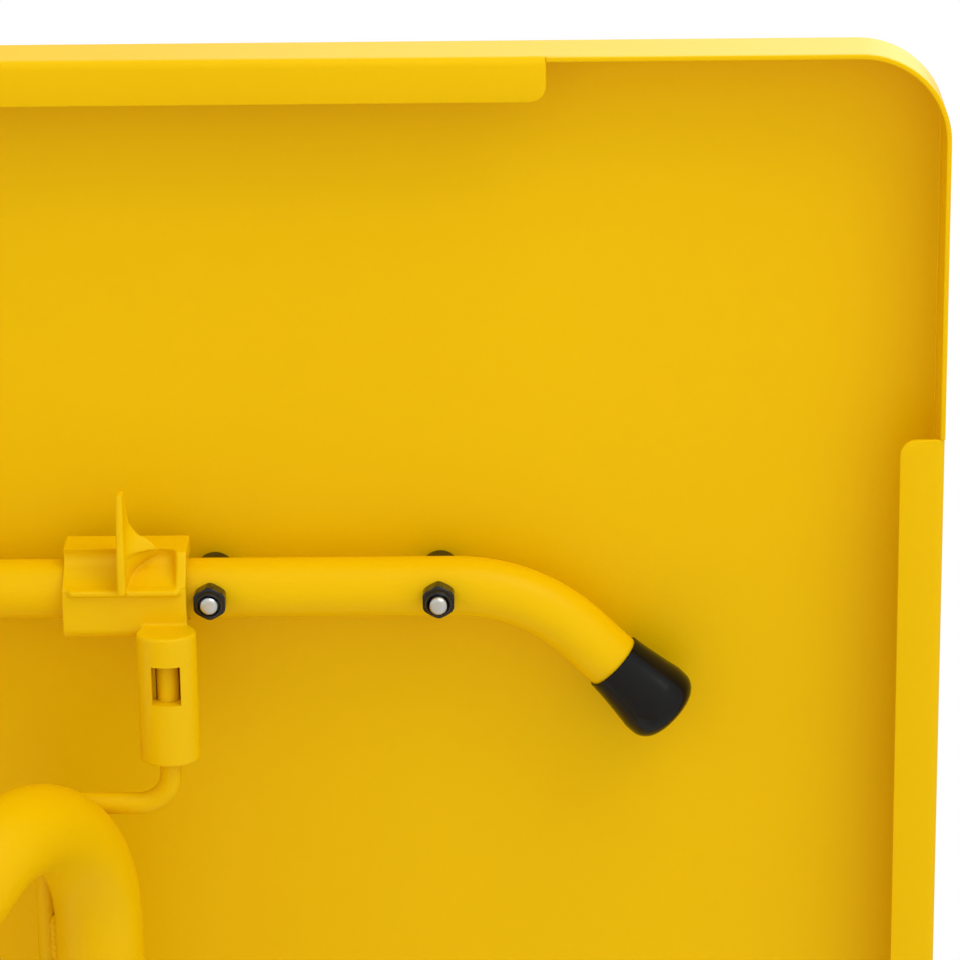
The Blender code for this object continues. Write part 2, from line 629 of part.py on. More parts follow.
def clip_outline():
    """The clip's section across the bar: (inboard of the bar's axis, below the sheet) points."""
    saddle = BAR_RADIUS + CLIP_SADDLE_CLEARANCE
    scoop = BAR_RADIUS + CLIP_OUTER_WALL
    inner_wall = BAR_RADIUS + CLIP_INNER_WALL
    rib_drop = CLIP_ROOF_DROP + CLIP_RIB_HEIGHT
    points = [(-scoop, CLIP_WALL_DROP)]
    for angle_deg in (0, 12, 24, 36, 48, 60):
        angle = math.radians(angle_deg)
        points.append((-scoop * math.cos(angle),
                       BAR_DROP + scoop * math.sin(angle) * CLIP_SCOOP_FLATTENING))
    points += [(CLIP_RIB_START_Y, rib_drop), (CLIP_RIB_END_Y, rib_drop),
               (CLIP_RIB_END_Y, CLIP_ROOF_DROP), (inner_wall - CLIP_CHAMFER, CLIP_ROOF_DROP),
               (inner_wall, CLIP_ROOF_DROP - CLIP_CHAMFER), (inner_wall, CLIP_WALL_DROP),
               (saddle, CLIP_WALL_DROP)]
    points += arc((0, BAR_DROP), saddle, 0, 180, 12)
    points.append((-saddle, CLIP_WALL_DROP))
    return points


def fin_outline():
    """The thumb fin's side view, in the same terms as the clip's section."""
    root_y = CLIP_RIB_END_Y - 0.0004
    root_drop = CLIP_ROOF_DROP + FIN_ROOT_HEIGHT
    tip_drop = CLIP_ROOF_DROP - FIN_TIP_RISE
    return [(root_y, CLIP_ROOF_DROP - 0.004), (root_y, root_drop), (-0.016, root_drop - 0.0005),
            (FIN_TIP_Y + 0.009, tip_drop + 0.0042), (FIN_TIP_Y, tip_drop),
            (FIN_TIP_Y + 0.004, tip_drop - FIN_TIP_WIDTH),
            (FIN_TIP_Y + 0.015, tip_drop - 2 * FIN_TIP_WIDTH),
            (-BAR_RADIUS - CLIP_OUTER_WALL + 0.0006, BAR_DROP)]


def swing_cutter(side):
    """The room a clip needs ahead of its rod so that its shell can swing off the bar."""
    saddle = BAR_RADIUS + CLIP_SADDLE_CLEARANCE
    bar_y = side * BAR_Y
    room = box("clip_swing_room",
               (ROD_X, bar_y - saddle,
                SHEET_UNDERSIDE - CLIP_ROOF_DROP - CLIP_RIB_HEIGHT - CUT_MARGIN),
               (ROD_X + CLIP_AHEAD_OF_ROD + CUT_MARGIN, bar_y + saddle,
                SHEET_UNDERSIDE - CLIP_WALL_DROP + CUT_MARGIN))
    spared = cylinder("clip_swing_spared", (ROD_X, bar_y - 2 * saddle, ROD_Z),
                      (ROD_X, bar_y + 2 * saddle, ROD_Z),
                      ROD_BELOW_BAR - CLIP_SADDLE_CLEARANCE, 48)
    return cut(room, spared)


def make_lock_clips():
    """A saddle over the support bar, a thumb fin, and a sleeve that turns on the rod."""
    for side in (-1, 1):
        def placed(points):
            return [(side * (BAR_Y - y), SHEET_UNDERSIDE - drop) for y, drop in points]

        def on_rod(y):
            return (ROD_X, side * (BAR_Y - y), ROD_Z)

        clip = prism("lock_clip_" + side_name(side), placed(clip_outline()),
                     ROD_X - CLIP_BEHIND_ROD, ROD_X + CLIP_AHEAD_OF_ROD, "X")
        cut(clip, swing_cutter(side))
        sleeve = cylinder("clip_sleeve", on_rod(SLEEVE_START_Y), on_rod(SLEEVE_END_Y),
                          SLEEVE_DIAMETER / 2, 32)
        cut(clip, sleeve, "UNION")
        fin_x = ROD_X - FIN_BEHIND_ROD
        blade = prism("clip_fin", placed(fin_outline()), fin_x - FIN_THICKNESS / 2,
                      fin_x + FIN_THICKNESS / 2, "X")
        cut(clip, blade, "UNION")
        bore = cylinder("clip_bore", on_rod(ROD_TIP_Y - 2 * GAP),
                        on_rod(SLEEVE_END_Y + CUT_MARGIN), ROD_RADIUS + SLEEVE_BORE_CLEARANCE, 24)
        cut(clip, bore)
        near, far = sorted((side * (BAR_Y - WINDOW_START_Y), side * (BAR_Y - WINDOW_END_Y)))
        window = box("clip_window", (ROD_X - WINDOW_WIDTH / 2, near, ROD_Z - SLEEVE_DIAMETER),
                     (ROD_X + WINDOW_WIDTH / 2, far, ROD_Z))
        cut(clip, window)
        finish(clip, CLIP_PLASTIC)


make_top()
make_support_bars()
make_bar_fasteners()
for frame_kind in FRAMES:
    make_leg_frame(frame_kind)
make_pivots()
make_hinges()
make_lock_rods()
make_lock_clips()
bpy.context.view_layer.update()
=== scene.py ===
"""A yellow folding steel table with a pan-shaped top, seen from below one corner."""
import math

import bmesh
import bpy
from mathutils import Matrix, Vector, noise
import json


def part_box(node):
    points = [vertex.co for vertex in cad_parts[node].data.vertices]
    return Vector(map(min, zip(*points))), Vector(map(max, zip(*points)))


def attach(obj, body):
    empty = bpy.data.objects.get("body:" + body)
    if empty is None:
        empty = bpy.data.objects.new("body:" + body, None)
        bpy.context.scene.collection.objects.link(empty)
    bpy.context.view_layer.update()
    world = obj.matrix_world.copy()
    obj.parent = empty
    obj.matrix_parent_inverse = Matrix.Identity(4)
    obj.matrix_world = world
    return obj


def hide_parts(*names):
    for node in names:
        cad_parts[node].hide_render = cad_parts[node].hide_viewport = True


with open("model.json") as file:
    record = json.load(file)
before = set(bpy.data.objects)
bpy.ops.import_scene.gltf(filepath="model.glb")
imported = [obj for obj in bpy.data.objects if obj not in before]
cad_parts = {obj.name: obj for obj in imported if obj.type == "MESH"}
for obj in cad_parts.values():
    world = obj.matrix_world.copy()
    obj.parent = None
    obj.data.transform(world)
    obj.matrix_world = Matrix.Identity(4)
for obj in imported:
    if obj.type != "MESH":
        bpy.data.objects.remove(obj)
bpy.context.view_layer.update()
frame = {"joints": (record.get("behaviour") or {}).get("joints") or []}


# ---- Top -------------------------------------------------------------------------------------
# The top is one sheet of 1.5 mm steel, pressed into a shallow pan with rounded corners. The rim is
# folded down and a narrow lip is folded in along each side, which stops short of the corners.
# It is powder coated in yellow after folding, inside and out, so even the raw edges are yellow.
top_low, top_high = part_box("table_top")
HALF_TOP = top_high.x
TOP_Z = top_high.z
RIM_Z = top_low.z
SHEET = 0.0015
UNDERSIDE_Z = TOP_Z - SHEET
TOP_CORNER = 0.028
TOP_FOLD = 0.0018
LIP_FOLD = 0.0024
LIP_WIDTH = 0.0140
LIP_REACH = HALF_TOP - 0.124
LIP_END_ROUND = 0.005


def linear(red, green, blue):
    """A colour given as it looks on a screen, 0 to 255, turned into light values."""
    values = []
    for value in (red, green, blue):
        share = value / 255
        values.append(share / 12.92 if share <= 0.04045 else ((share + 0.055) / 1.055) ** 2.4)
    return (*values, 1.0)


def mesh_piece(name, verts, faces):
    mesh = bpy.data.meshes.new(name)
    mesh.from_pydata([tuple(v) for v in verts], [], faces)
    mesh.update()
    piece = bpy.data.objects.new(name, mesh)
    bpy.context.scene.collection.objects.link(piece)
    return piece


def baked(piece, sharp_deg=40):
    """Turns a piece's modifiers into plain mesh and shades it smooth but for its sharp edges."""
    bpy.context.view_layer.update()
    evaluated = piece.evaluated_get(bpy.context.evaluated_depsgraph_get())
    mesh = bpy.data.meshes.new_from_object(evaluated)
    mesh.name = piece.name
    piece.modifiers.clear()
    piece.data = mesh
    mesh.shade_smooth()
    mesh.set_sharp_from_angle(angle=math.radians(sharp_deg))
    return piece


def fitted(piece, finish, body, slot, *nodes):
    """Gives a piece its finish and the body it rides on, and hides the CAD nodes it stands for."""
    piece.data.materials.clear()
    piece.data.materials.append(finish)
    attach(piece, body)
    if nodes:
        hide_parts(*nodes)
    return piece


def grain_group():
    """Fine surface relief and a slow mottle, shared by the paint, plastic, rubber and steel."""
    group = bpy.data.node_groups.new("surface_grain", "ShaderNodeTree")
    for name, kind, side in (("Place", "NodeSocketVector", "INPUT"),
                             ("Grain Scale", "NodeSocketFloat", "INPUT"),
                             ("Mottle Scale", "NodeSocketFloat", "INPUT"),
                             ("Relief", "NodeSocketFloat", "OUTPUT"),
                             ("Mottle", "NodeSocketFloat", "OUTPUT")):
        group.interface.new_socket(name=name, in_out=side, socket_type=kind)
    nodes, links = group.nodes, group.links
    entry = nodes.new("NodeGroupInput")
    leave = nodes.new("NodeGroupOutput")
    grain = nodes.new("ShaderNodeTexNoise")
    grain.inputs["Detail"].default_value = 2.0
    links.new(entry.outputs["Place"], grain.inputs["Vector"])
    links.new(entry.outputs["Grain Scale"], grain.inputs["Scale"])
    links.new(grain.outputs["Fac"], leave.inputs["Relief"])
    mottle = nodes.new("ShaderNodeTexNoise")
    mottle.inputs["Detail"].default_value = 4.0
    links.new(entry.outputs["Place"], mottle.inputs["Vector"])
    links.new(entry.outputs["Mottle Scale"], mottle.inputs["Scale"])
    links.new(mottle.outputs["Fac"], leave.inputs["Mottle"])
    return group


SURFACE_GRAIN = grain_group()


def finish_material(name, colours, roughness, grain_scale, relief_mm, mottle_scale=9.0,
                    metallic=0.0, coat=0.0, gloss=0.5):
    """A finish whose colour and roughness drift between two values, with a fine relief."""
    made = bpy.data.materials.new(name)
    made.use_nodes = True
    nodes, links = made.node_tree.nodes, made.node_tree.links
    shader = nodes["Principled BSDF"]
    place = nodes.new("ShaderNodeTexCoord")
    grain = nodes.new("ShaderNodeGroup")
    grain.node_tree = SURFACE_GRAIN
    grain.inputs["Grain Scale"].default_value = grain_scale
    grain.inputs["Mottle Scale"].default_value = mottle_scale
    links.new(place.outputs["Object"], grain.inputs["Place"])
    colour = nodes.new("ShaderNodeMix")
    colour.data_type = "RGBA"
    colour.inputs[6].default_value = colours[0]
    colour.inputs[7].default_value = colours[1]
    links.new(grain.outputs["Mottle"], colour.inputs[0])
    links.new(colour.outputs[2], shader.inputs["Base Color"])
    rough = nodes.new("ShaderNodeMapRange")
    rough.inputs["To Min"].default_value = roughness[0]
    rough.inputs["To Max"].default_value = roughness[1]
    links.new(grain.outputs["Mottle"], rough.inputs["Value"])
    links.new(rough.outputs["Result"], shader.inputs["Roughness"])
    bump = nodes.new("ShaderNodeBump")
    bump.inputs["Distance"].default_value = relief_mm / 1000
    links.new(grain.outputs["Relief"], bump.inputs["Height"])
    links.new(bump.outputs["Normal"], shader.inputs["Normal"])
    shader.inputs["Metallic"].default_value = metallic
    shader.inputs["Specular IOR Level"].default_value = gloss
    shader.inputs["Coat Weight"].default_value = coat
    shader.inputs["Coat Roughness"].default_value = 0.18
    return made


POWDER_COAT = finish_material("yellow powder coat", (linear(238, 190, 0), linear(243, 196, 0)),
                              (0.34, 0.42), 700.0, 0.05, gloss=0.08)


def rim_stations():
    """Places round the pan's outline, anticlockwise: (x, y, inward normal, lip width or None)."""
    straight = HALF_TOP - TOP_CORNER
    along = [-straight, -LIP_REACH - 0.02, -LIP_REACH]
    along += [-LIP_REACH + LIP_END_ROUND * (1 - math.cos(math.radians(a)))
              for a in (20, 40, 60, 75, 90)]
    along += [-LIP_REACH * share for share in (0.75, 0.5, 0.25)]
    along += [0] + [-value for value in reversed(along)]
    stations = []
    for quarter in range(4):
        turn = Matrix.Rotation(math.pi / 2 * quarter, 3, "Z")
        for s in along:
            width = None
            from_end = LIP_REACH - abs(s)
            if from_end >= -1e-6:
                inside = max(0.0, LIP_END_ROUND - from_end) / LIP_END_ROUND
                width = LIP_WIDTH - LIP_END_ROUND * (1 - math.sqrt(max(0.0, 1 - inside ** 2)))
            stations.append((turn @ Vector((HALF_TOP, s, 0)), turn @ Vector((-1, 0, 0)), width))
        for step in range(1, 16):
            angle = math.radians(90 * step / 16)
            outward = Vector((math.cos(angle), math.sin(angle), 0))
            place = Vector((straight, straight, 0)) + outward * TOP_CORNER
            stations.append((turn @ place, turn @ -outward, None))
    return stations


def fold_points(radius, first, last, steps):
    """Points on a fold of a given outer radius: (inset, height above the fold's lowest line)."""
    points = []
    for step in range(steps + 1):
        angle = math.radians(first + (last - first) * step / steps)
        points.append((radius - radius * math.cos(angle), radius + radius * math.sin(angle)))
    return points


def make_pan():
    verts, faces = [], []
    upper = [(inset, TOP_Z - height) for inset, height in fold_points(TOP_FOLD, -90, 0, 6)]
    upper = [(TOP_FOLD + 0.002, TOP_Z)] + upper
    wall = upper + [(0, TOP_Z - TOP_FOLD - 0.001), (0, RIM_Z + LIP_FOLD + 0.001)]
    lower = [(inset, RIM_Z + height) for inset, height in fold_points(LIP_FOLD, 0, -90, 5)]
    lower = lower + [(LIP_FOLD + 0.0006, RIM_Z)]
    columns = []
    for place, inward, width in rim_stations():
        def add(inset, height):
            verts.append(Vector((place.x, place.y, 0)) + inward * inset + Vector((0, 0, height)))
            return len(verts) - 1

        body = [add(inset, height) for inset, height in wall]
        fold = add(*lower[0])
        edge = add(0, RIM_Z) if width is None or abs(width - LIP_WIDTH + LIP_END_ROUND) < 1e-6 \
            else None
        lip = None
        if width is not None:
            lip = [fold] + [add(inset, height) for inset, height in lower[1:]]
            lip.append(add(width, RIM_Z))
        columns.append((body + [fold], edge, lip))
    for one, two in zip(columns, columns[1:] + columns[:1]):
        for k in range(len(one[0]) - 1):
            faces.append((one[0][k], one[0][k + 1], two[0][k + 1], two[0][k]))
        if one[2] and two[2]:
            for k in range(len(one[2]) - 1):
                faces.append((one[2][k], one[2][k + 1], two[2][k + 1], two[2][k]))
        elif one[1] is not None and two[1] is not None:
            faces.append((one[0][-1], one[1], two[1], two[0][-1]))
    faces.append([column[0][0] for column in columns])
    pan = mesh_piece("pan_top", verts, faces)
    builder = bmesh.new()
    builder.from_mesh(pan.data)
    bmesh.ops.recalc_face_normals(builder, faces=builder.faces)
    flat = max(builder.faces, key=lambda face: face.calc_area())
    if flat.normal.z < 0:
        bmesh.ops.reverse_faces(builder, faces=builder.faces)
    builder.to_mesh(pan.data)
    builder.free()
    thick = pan.modifiers.new("sheet", "SOLIDIFY")
    thick.thickness = SHEET
    thick.offset = -1.0
    thick.use_even_offset = True
    soft = pan.modifiers.new("edges", "BEVEL")
    soft.width = 0.00025
    soft.segments = 2
    soft.limit_method = "ANGLE"
    soft.angle_limit = math.radians(60)
    return baked(pan, 50)


fitted(make_pan(), POWDER_COAT, "top", "yellow_powder_coat", "table_top")


# ---- Support bars ------------------------------------------------------------------------------
# Two round steel bars, 20 mm thick, run under the top with a gap to the sheet. Their ends bend
# in towards the middle. They stiffen the sheet and are what the locking clips snap over.
BAR_RADIUS = 0.0095
BAR_BEND_START = HALF_TOP - 0.154
BAR_BEND_RADIUS = 0.057
BAR_BEND = math.radians(44.5)
BAR_TAIL = 0.034
bar_low, bar_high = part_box("support_bar_front")
BAR_Z = (bar_low.z + bar_high.z) / 2
BAR_Y = -bar_low.y - BAR_RADIUS


def rounded_route(corners, radii, step_deg=3.0):
    """Straight runs between corners, joined by arcs."""
    corners = [Vector(corner) for corner in corners]
    route = [corners[0]]
    for before, corner, after, radius in zip(corners, corners[1:], corners[2:], radii):
        back = (before - corner).normalized()
        ahead = (after - corner).normalized()
        opening = back.angle(ahead)
        centre = corner + (back + ahead).normalized() * radius / math.sin(opening / 2)
        arm = corner + back * radius / math.tan(opening / 2) - centre
        hinge = arm.cross(corner + ahead * radius / math.tan(opening / 2) - centre).normalized()
        sweep = math.pi - opening
        steps = max(4, round(math.degrees(sweep) / step_deg))
        for step in range(steps + 1):
            route.append(centre + Matrix.Rotation(sweep * step / steps, 3, hinge) @ arm)
    return route + [corners[-1]]


def round_bar(name, route, radius, sides=48, end_round=0.0006):
    """A bar of round section along a route, with its two ends slightly rounded."""
    tangents = []
    for k, place in enumerate(route):
        before = route[max(k - 1, 0)]
        after = route[min(k + 1, len(route) - 1)]
        tangents.append((after - before).normalized())
    across = tangents[0].orthogonal().normalized()
    stops = [(route[0], tangents[0], radius - end_round)]
    stops.append((route[0] + tangents[0] * end_round, tangents[0], radius))
    stops += [(place, tangent, radius) for place, tangent in zip(route[1:-1], tangents[1:-1])]
    stops.append((route[-1] - tangents[-1] * end_round, tangents[-1], radius))
    stops.append((route[-1], tangents[-1], radius - end_round))
    verts, faces = [], []
    for place, tangent, size in stops:
        across = (across - tangent * across.dot(tangent)).normalized()
        other = tangent.cross(across)
        for k in range(sides):
            angle = 2 * math.pi * k / sides
            verts.append(place + (across * math.cos(angle) + other * math.sin(angle)) * size)
    for ring in range(len(stops) - 1):
        for k in range(sides):
            a, b = ring * sides + k, ring * sides + (k + 1) % sides
            faces.append((a, b, b + sides, a + sides))
    faces.append(list(reversed(range(sides))))
    faces.append([(len(stops) - 1) * sides + k for k in range(sides)])
    return baked(mesh_piece(name, verts, faces), 50)


def bar_route(side):
    reach = BAR_BEND_RADIUS * math.tan(BAR_BEND / 2)
    corner_x = BAR_BEND_START + reach
    tail = reach + BAR_TAIL
    end_x = corner_x + tail * math.cos(BAR_BEND)
    end_y = side * (BAR_Y - tail * math.sin(BAR_BEND))
    corners = [(-end_x, end_y, BAR_Z), (-corner_x, side * BAR_Y, BAR_Z),
               (corner_x, side * BAR_Y, BAR_Z), (end_x, end_y, BAR_Z)]
    return rounded_route(corners, (BAR_BEND_RADIUS, BAR_BEND_RADIUS))


SIDES = (("front", -1), ("back", 1))
ENDS = (("left", -1), ("right", 1))
for side_name, side in SIDES:
    bar = round_bar("support_bar_tube_" + side_name, bar_route(side), BAR_RADIUS, 56)
    fitted(bar, POWDER_COAT, "top", "yellow_powder_coat", "support_bar_" + side_name)


# ---- Bar end caps ------------------------------------------------------------------------------
# A black rubber cap is pushed over each end of the bars. It is thin at its mouth and swells to
# a blunt rounded end, so the bar's end cannot cut a hand under the table.
CAP_LENGTH = 0.026
CAP_GRIP = 0.020
CAP_END_RADIUS = 0.0126

RUBBER = finish_material("black moulded rubber", (linear(9, 10, 10), linear(14, 15, 15)),
                         (0.16, 0.24), 900.0, 0.02, gloss=0.20)


def turned(name, rings, start, direction, sides=48, hollow=False, sharp_deg=35):
    """A turned piece. Each ring is (radius, height); a radius may be a function of the angle."""
    verts, faces = [], []
    for radius, height in rings:
        for k in range(sides):
            angle = 2 * math.pi * k / sides
            size = radius(angle) if callable(radius) else radius
            verts.append(Vector((size * math.cos(angle), size * math.sin(angle), height)))
    loops = len(rings) if hollow else len(rings) - 1
    for ring in range(loops):
        after = (ring + 1) % len(rings)
        for k in range(sides):
            k2 = (k + 1) % sides
            faces.append((ring * sides + k, ring * sides + k2, after * sides + k2,
                          after * sides + k))
    if not hollow:
        faces.append(list(reversed(range(sides))))
        faces.append([(len(rings) - 1) * sides + k for k in range(sides)])
    turn = Vector((0, 0, 1)).rotation_difference(Vector(direction)).to_matrix()
    verts = [Vector(start) + turn @ v for v in verts]
    piece = mesh_piece(name, verts, faces)
    builder = bmesh.new()
    builder.from_mesh(piece.data)
    bmesh.ops.recalc_face_normals(builder, faces=builder.faces)
    builder.to_mesh(piece.data)
    builder.free()
    return baked(piece, sharp_deg)


def cap_rings():
    bore = BAR_RADIUS + 0.00012
    rings = [(bore, 0.0003), (bore + 0.0003, 0.0), (bore + 0.0006, 0.0002), (bore + 0.0007, 0.0012)]
    for share in (0.15, 0.3, 0.45, 0.6, 0.75, 0.9, 1.0):
        rings.append((bore + 0.0007 + (CAP_END_RADIUS - bore - 0.0007) * share ** 1.25,
                      0.0012 + 0.0163 * share))
    rings.append((CAP_END_RADIUS, CAP_LENGTH - 0.0055))
    for angle in range(10, 91, 10):
        turn = math.radians(angle)
        rings.append((CAP_END_RADIUS - 0.0055 + 0.0055 * math.cos(turn),
                      CAP_LENGTH - 0.0055 + 0.0055 * math.sin(turn)))
    rings += [(0.0042, CAP_LENGTH), (0.0038, CAP_LENGTH - 0.0003), (0.0004, CAP_LENGTH - 0.0003)]
    return rings


def bar_end(side, end):
    route = bar_route(side)
    tip, inner = (route[-1], route[-2]) if end > 0 else (route[0], route[1])
    return tip, (tip - inner).normalized()


for side_name, side in SIDES:
    for end_name, end in ENDS:
        tip, outward = bar_end(side, end)
        label = "%s_%s" % (side_name, end_name)
        cap = turned("end_cap_" + label, cap_rings(), tip - outward * CAP_GRIP, outward, 64)
        fitted(cap, RUBBER, "top", "black_rubber", "bar_cap_" + label)


# ---- Bar fasteners -----------------------------------------------------------------------------
# Threaded studs are welded under the sheet, and each bar hangs on four of them. A turned black
# spacer holds the bar off the sheet and a blackened lock nut with a collar closes the stud.
STUD_RADIUS = 0.0027
THREAD_PITCH = 0.001
NUT_FLATS = 0.010

BLACK_STEEL = finish_material("blackened steel", (linear(15, 15, 16), linear(27, 27, 29)),
                              (0.18, 0.30), 500.0, 0.02, 120.0, 0.35)
ZINC = finish_material("bright zinc plate", (linear(186, 188, 190), linear(214, 214, 210)),
                       (0.26, 0.40), 400.0, 0.02, 200.0, 1.0)


def hexagon(across_flats, limit=1.0):
    """The radius of a hexagon at an angle, cut off by a chamfer circle."""
    def radius(angle):
        turn = angle % (math.pi / 3) - math.pi / 6
        return min(across_flats / 2 / math.cos(turn), limit)
    return radius


def nut_rings(flats, height, collar, bore):
    corner = flats * 0.540
    rings = [(hexagon(flats, flats * 0.485), 0.0)]
    for share in (0.25, 0.5, 0.75, 1.0):
        rings.append((hexagon(flats, flats * 0.485 + (corner - flats * 0.485) * share),
                      0.00035 * share))
    for share in (1.0, 0.75, 0.5, 0.25, 0.0):
        rings.append((hexagon(flats, flats * 0.47 + (corner - flats * 0.47) * share),
                      height - 0.0005 * share))
    rings += [(flats * 0.435, height + 0.0001), (flats * 0.425, height + collar * 0.45),
              (flats * 0.40, height + collar * 0.80), (flats * 0.36, height + collar),
              (flats * 0.335, height + collar - 0.0002), (bore + 0.0004, height + collar - 0.0004),
              (bore, height + collar - 0.0008), (bore, 0.0004), (bore + 0.0004, 0.0)]
    return rings


def stud_rings(length, radius, threaded):
    rings = [(radius, 0.0), (radius, length - threaded)]
    height = length - threaded
    while height < length - 0.0007:
        rings.append((radius * 0.84, height + THREAD_PITCH * 0.5))
        rings.append((radius, height + THREAD_PITCH * 0.95))
        rings.append((radius, height + THREAD_PITCH * 1.05))
        height += THREAD_PITCH
    rings = [(size, min(level, length - 0.0006)) for size, level in rings]
    rings += [(radius * 0.80, length - 0.0001), (radius * 0.72, length)]
    return rings


for side_name, side in SIDES:
    for end_name, end in ENDS:
        for place_name in ("outer", "inner"):
            label = "%s_%s_%s" % (side_name, end_name, place_name)
            nut_low, nut_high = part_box("bar_nut_" + label)
            stud_low, stud_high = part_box("bar_stud_" + label)
            spacer_low, spacer_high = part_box("bar_spacer_" + label)
            x = (stud_low.x + stud_high.x) / 2
            y = (stud_low.y + stud_high.y) / 2
            spacer_radius = (spacer_high.x - spacer_low.x) / 2
            spacer_length = spacer_high.z - spacer_low.z
            rings = [(STUD_RADIUS + 0.0003, 0.0), (spacer_radius - 0.0004, 0.0),
                     (spacer_radius, 0.0004), (spacer_radius, spacer_length - 0.0004),
                     (spacer_radius - 0.0004, spacer_length), (STUD_RADIUS + 0.0003, spacer_length)]
            spacer = turned("stand_off_" + label, rings, (x, y, spacer_low.z), (0, 0, 1), 48, True)
            fitted(spacer, BLACK_STEEL, "top", "black_oxide_steel", "bar_spacer_" + label)
            stud = turned("threaded_stud_" + label,
                          stud_rings(stud_high.z - stud_low.z, STUD_RADIUS, 0.011),
                          (x, y, stud_high.z), (0, 0, -1), 32, False, 50)
            fitted(stud, ZINC, "top", "zinc_plated_steel", "bar_stud_" + label)
            nut = turned("lock_nut_" + label,
                         nut_rings(NUT_FLATS, 0.0055, 0.0015, STUD_RADIUS + 0.00015),
                         (x, y, nut_high.z), (0, 0, -1), 72, True, 24)
            fitted(nut, BLACK_STEEL, "top", "black_oxide_steel", "bar_nut_" + label)


# ---- Leg frames --------------------------------------------------------------------------------
# Each frame is one steel tube, 28 mm thick, bent into an arch: a straight top bar, two tight
# bends, legs that pull in to a waist and then spread to the feet. The wide frame stands outside
# the narrow one. Both are powder coated, and the ends are open inside their rubber feet.
LEG_RADIUS = 0.014
TOP_BAR_X = 0.0856
TOP_BAR_Z = frame["joints"][0]["pos_m"][2]
WAIST_Z = frame["joints"][1]["pos_m"][2]
CORNER_Y = 0.150
WAIST_Y = 0.068
FOOT_Y = 0.215
FOOT_Z = 0.020
WIDE_STEP = 0.033
LEG_LEAN = 0.5
CORNER_BEND = 0.0467
WAIST_BEND = 0.090
FRAMES = {"wide": (-1, WIDE_STEP), "narrow": (1, 0.0)}


def leg_route(end, step):
    slant = math.hypot(1, LEG_LEAN)
    upper = math.atan((CORNER_Y - WAIST_Y) / (TOP_BAR_Z - WAIST_Z) / slant)
    lower = math.atan((FOOT_Y - WAIST_Y) / (WAIST_Z - FOOT_Z) / slant)
    lift = WAIST_BEND * math.sin((upper - lower) / 2) / slant
    foot_x = end * (TOP_BAR_X - LEG_LEAN * (TOP_BAR_Z - FOOT_Z))
    corners = [(foot_x, FOOT_Y + step, FOOT_Z),
               (end * LEG_LEAN * lift, WAIST_Y + step, WAIST_Z + lift),
               (end * TOP_BAR_X, CORNER_Y + step, TOP_BAR_Z)]
    mirrored = [(x, -y, z) for x, y, z in reversed(corners)]
    return rounded_route(corners + mirrored, (WAIST_BEND, CORNER_BEND, CORNER_BEND, WAIST_BEND))


for kind, (end, step) in FRAMES.items():
    tube = round_bar(kind + "_arch_tube", leg_route(end, step), LEG_RADIUS, 64, 0.001)
    fitted(tube, POWDER_COAT, kind + "_frame", "yellow_powder_coat", kind + "_leg_frame")


# ---- Rubber feet -------------------------------------------------------------------------------
# A black rubber boot is pushed over each leg. It has a rolled mouth and three grip grooves, and a
# rounded sole, so that it stands firm whatever the angle of the leg.
FOOT_DOME = 0.017
FOOT_SLEEVE = 0.034


def foot_rings():
    bore = LEG_RADIUS + 0.00015
    mouth = FOOT_SLEEVE
    rings = [(bore, mouth - 0.0004), (bore + 0.0004, mouth), (bore + 0.0011, mouth - 0.0002),
             (bore + 0.0013, mouth - 0.0010), (bore + 0.0012, mouth - 0.0022),
             (bore + 0.0009, mouth - 0.0030)]
    for groove in range(3):
        level = mouth - 0.006 - 0.005 * groove
        outside = bore + 0.0012 + 0.0004 * groove
        rings += [(outside, level + 0.0014), (outside - 0.0005, level + 0.0008),
                  (outside - 0.0005, level - 0.0002), (outside, level - 0.0008)]
    rings.append((FOOT_DOME, 0.012))
    for angle in range(0, 90, 10):
        turn = math.radians(angle)
        rings.append((FOOT_DOME * math.cos(turn), -FOOT_DOME * math.sin(turn)))
    rings.append((0.0006, -FOOT_DOME))
    return rings


for kind, (end, step) in FRAMES.items():
    route = leg_route(end, step)
    for side_name, side in SIDES:
        tip, inner = (route[0], route[1]) if side > 0 else (route[-1], route[-2])
        upwards = (inner - tip).normalized()
        centre = tip - upwards * (tip.z - FOOT_DOME) / upwards.z
        foot = turned("%s_boot_%s" % (kind, side_name), foot_rings(), centre, upwards, 56)
        fitted(foot, RUBBER, kind + "_frame", "black_rubber", "%s_foot_%s" % (kind, side_name))


# ---- Scissor pivots ----------------------------------------------------------------------------
# Where the two frames cross, a zinc-plated bolt with a domed socket head goes through both tubes.
# A black washer keeps the paint of the tubes apart and a lock nut holds the bolt on the inside.
PIVOT_RADIUS = 0.004


def dome_rings(radius, height, socket, shank, length):
    """A domed head with a hexagon socket, its underside at height 0, and the shank below it."""
    rings = [(shank * 0.8, -length), (shank, -length + shank * 0.25), (shank, -0.0001),
             (radius - 0.0003, 0.0), (radius, 0.0004)]
    for angle in range(15, 76, 15):
        turn = math.radians(angle)
        rings.append((radius * math.cos(turn) ** 0.8, 0.0004 + (height - 0.0004) * math.sin(turn)))
    rings += [(socket * 0.68, height), (hexagon(socket), height - 0.0002),
              (hexagon(socket), height * 0.35), (0.0004, height * 0.30)]
    return rings


